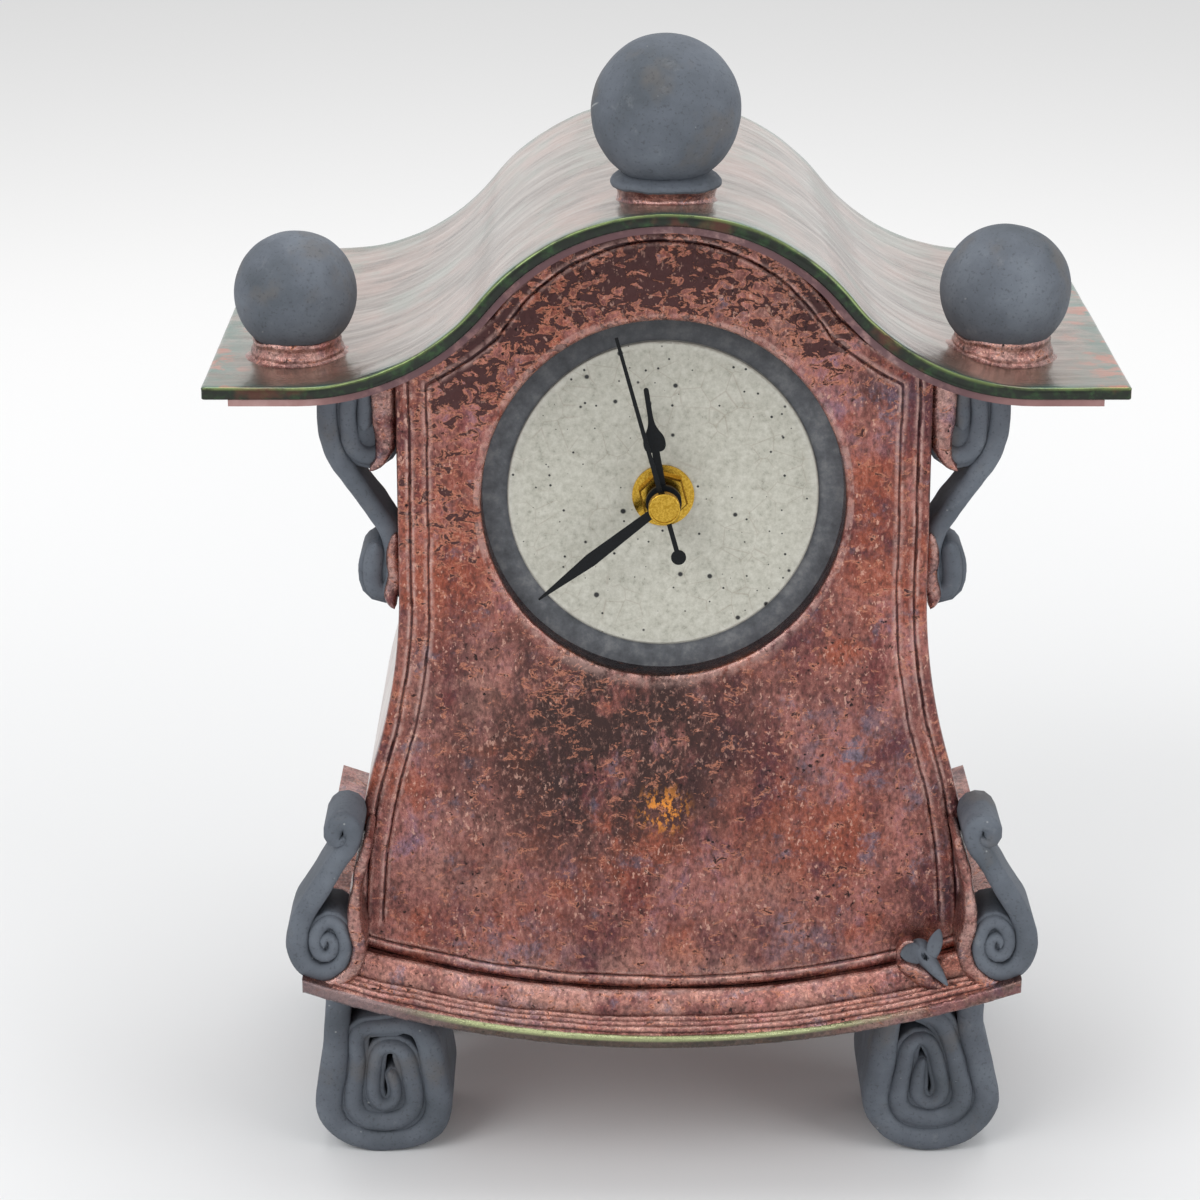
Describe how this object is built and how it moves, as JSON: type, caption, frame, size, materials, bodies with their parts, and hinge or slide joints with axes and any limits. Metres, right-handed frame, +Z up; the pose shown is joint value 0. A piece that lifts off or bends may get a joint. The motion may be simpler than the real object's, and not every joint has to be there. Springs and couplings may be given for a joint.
{
  "type": "shelf clock",
  "caption": "Hand-built stoneware shelf clock: ogee roof with clay balls, flared body, scroll brackets and feet, round recessed dial, geared battery movement with coupled hands.",
  "frame": {"origin": "on the floor under the middle of the bounding box", "axes": "+Z up, front towards -Y, X across the front"},
  "size_m": [0.26, 0.1634, 0.351],
  "materials": {
    "copper_glaze": "copper lustre glaze on stoneware, pitted, smoked",
    "roof_glaze": "thin copper lustre glaze, grey-pink sheen, green at the edges",
    "pale_glaze": "pale pinkish-grey crackle glaze",
    "smoked_clay": "unglazed smoked clay, matt",
    "white_glaze": "grey-white glaze with dark specks, unglazed grey rim",
    "brass": "polished",
    "black_hands": "black, satin",
    "black_plastic": "moulded, fine texture",
    "gear_plastic": "moulded, white",
    "magnet": "sintered magnet with a moulded pinion",
    "soft_iron": "stamped sheet",
    "coil_wire": "enamelled copper wire",
    "board": "green circuit board",
    "bright_metal": "plated",
    "cell_wrap": "plain wrapped cell, no print",
    "rubber": "soft, black"
  },
  "bodies": {
    "case": {"back_slab": "pale_glaze", "base_plate": "copper_glaze", "base_step": "copper_glaze", "brass_washer": "brass", "circuit_board": "board", "coil_core": "soft_iron", "contact_negative": "bright_metal", "contact_positive": "bright_metal", "dial_plate": "white_glaze", "drive_coil": "coil_wire", "foot_front_left": "smoked_clay", "foot_front_right": "smoked_clay", "foot_rear_left": "smoked_clay", "foot_rear_right": "smoked_clay", "front_slab": "copper_glaze", "hex_nut": "brass", "left_ball": "smoked_clay", "left_ball_collar": "copper_glaze", "lower_scroll_left": "smoked_clay", "lower_scroll_right": "smoked_clay", "mouse_ornament": "smoked_clay", "movement_case": "black_plastic", "movement_cover": "black_plastic", "quartz_crystal": "bright_metal", "right_ball": "smoked_clay", "right_ball_collar": "copper_glaze", "roof_slab": "roof_glaze", "roof_underlay": "copper_glaze", "rubber_gasket": "rubber", "side_wall_left": "pale_glaze", "side_wall_right": "pale_glaze", "stator": "soft_iron", "threaded_bushing": "brass", "top_ball": "smoked_clay", "top_ball_collar": "copper_glaze", "upper_scroll_left": "smoked_clay", "upper_scroll_right": "smoked_clay"},
    "seconds": {"seconds_wheel": "gear_plastic", "second_hand": "black_hands", "second_hand_cap": "brass"},
    "minutes": {"centre_wheel": "gear_plastic", "minute_hand": "black_hands"},
    "hours": {"hour_wheel": "gear_plastic", "hour_hand": "black_hands"},
    "third": {"third_wheel": "gear_plastic"},
    "setting": {"minute_work_wheel": "gear_plastic", "setting_knob": "black_plastic"},
    "fifth": {"fifth_wheel": "gear_plastic"},
    "drive": {"rotor": "magnet"},
    "cell": {"battery_cell": "cell_wrap"}
  },
  "joints": [
    {"name": "seconds_turn", "type": "hinge", "parent": "case", "child": "seconds", "pos_m": [0, -0.053, 0.216], "axis": [0, 0.9962, -0.0872], "continuous": true},
    {"name": "minutes_turn", "type": "hinge", "parent": "case", "child": "minutes", "pos_m": [0, -0.053, 0.216], "axis": [0, 0.9962, -0.0872], "continuous": true},
    {"name": "hours_turn", "type": "hinge", "parent": "case", "child": "hours", "pos_m": [0, -0.053, 0.216], "axis": [0, 0.9962, -0.0872], "continuous": true},
    {"name": "third_turn", "type": "hinge", "parent": "case", "child": "third", "pos_m": [-0.0115, -0.053, 0.216], "axis": [0, 0.9962, -0.0872], "continuous": true},
    {"name": "setting_turn", "type": "hinge", "parent": "case", "child": "setting", "pos_m": [0.012, -0.053, 0.216], "axis": [0, 0.9962, -0.0872], "continuous": true},
    {"name": "fifth_turn", "type": "hinge", "parent": "case", "child": "fifth", "pos_m": [0, -0.05195, 0.22795], "axis": [0, 0.9962, -0.0872], "continuous": true},
    {"name": "drive_turn", "type": "hinge", "parent": "case", "child": "drive", "pos_m": [0.00602, -0.05137, 0.23462], "axis": [0, 0.9962, -0.0872], "continuous": true},
    {"name": "cell_slide", "type": "slide", "parent": "case", "child": "cell", "axis": [0, 0.9962, -0.0872], "range_m": [0, 0.03]}
  ],
  "couplings": [
    {"joint": "minutes_turn", "follows": "seconds_turn", "ratio": 0.016667},
    {"joint": "hours_turn", "follows": "seconds_turn", "ratio": 0.0013889},
    {"joint": "third_turn", "follows": "seconds_turn", "ratio": -0.13333},
    {"joint": "setting_turn", "follows": "seconds_turn", "ratio": -0.0055556},
    {"joint": "fifth_turn", "follows": "seconds_turn", "ratio": -6},
    {"joint": "drive_turn", "follows": "seconds_turn", "ratio": 30}
  ]
}
